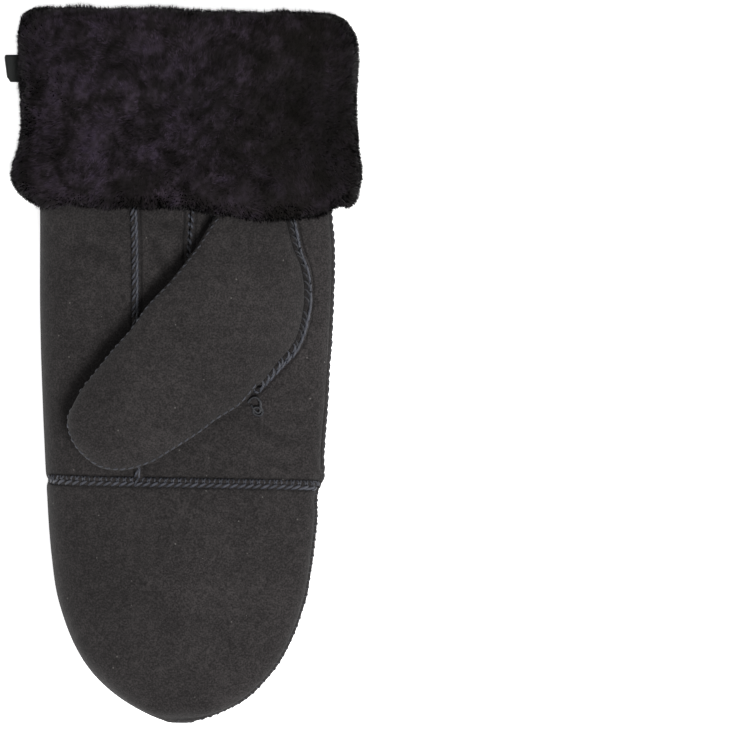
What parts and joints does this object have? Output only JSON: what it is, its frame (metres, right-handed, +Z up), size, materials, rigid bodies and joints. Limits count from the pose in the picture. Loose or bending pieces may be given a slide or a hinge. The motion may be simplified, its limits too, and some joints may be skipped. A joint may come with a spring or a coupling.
{
  "type": "sheepskin mitten",
  "caption": "Left-hand sheepskin mitten lying palm up: suede panels with raised sewn seams, the thumb folded across the palm, and the wool of the wrist turned back as a deep cuff.",
  "frame": {"origin": "centre of the mitten's footprint on the surface that it lies on", "axes": "+Y from the fingertips to the mouth, +X from the little finger's side to the thumb's side, +Z up out of the palm"},
  "size_m": [0.1358, 0.2814, 0.0538],
  "materials": {
    "suede": "matt brushed suede, near black, with a short nap and paler rubbed seams",
    "wool": "deep clipped wool, black, with a soft cool sheen on its locks",
    "ribbon": "plain black satin ribbon with a soft gloss"
  },
  "bodies": {
    "root": {"palm_tip": "suede", "palm_outer": "suede", "palm_main": "suede", "thumb_face": "suede", "thumb_under": "suede", "back_tip": "suede", "back_outer": "suede", "back_upper": "suede", "back_lower": "suede", "fur_cuff": "wool", "side_label": "ribbon"}
  },
  "joints": []
}
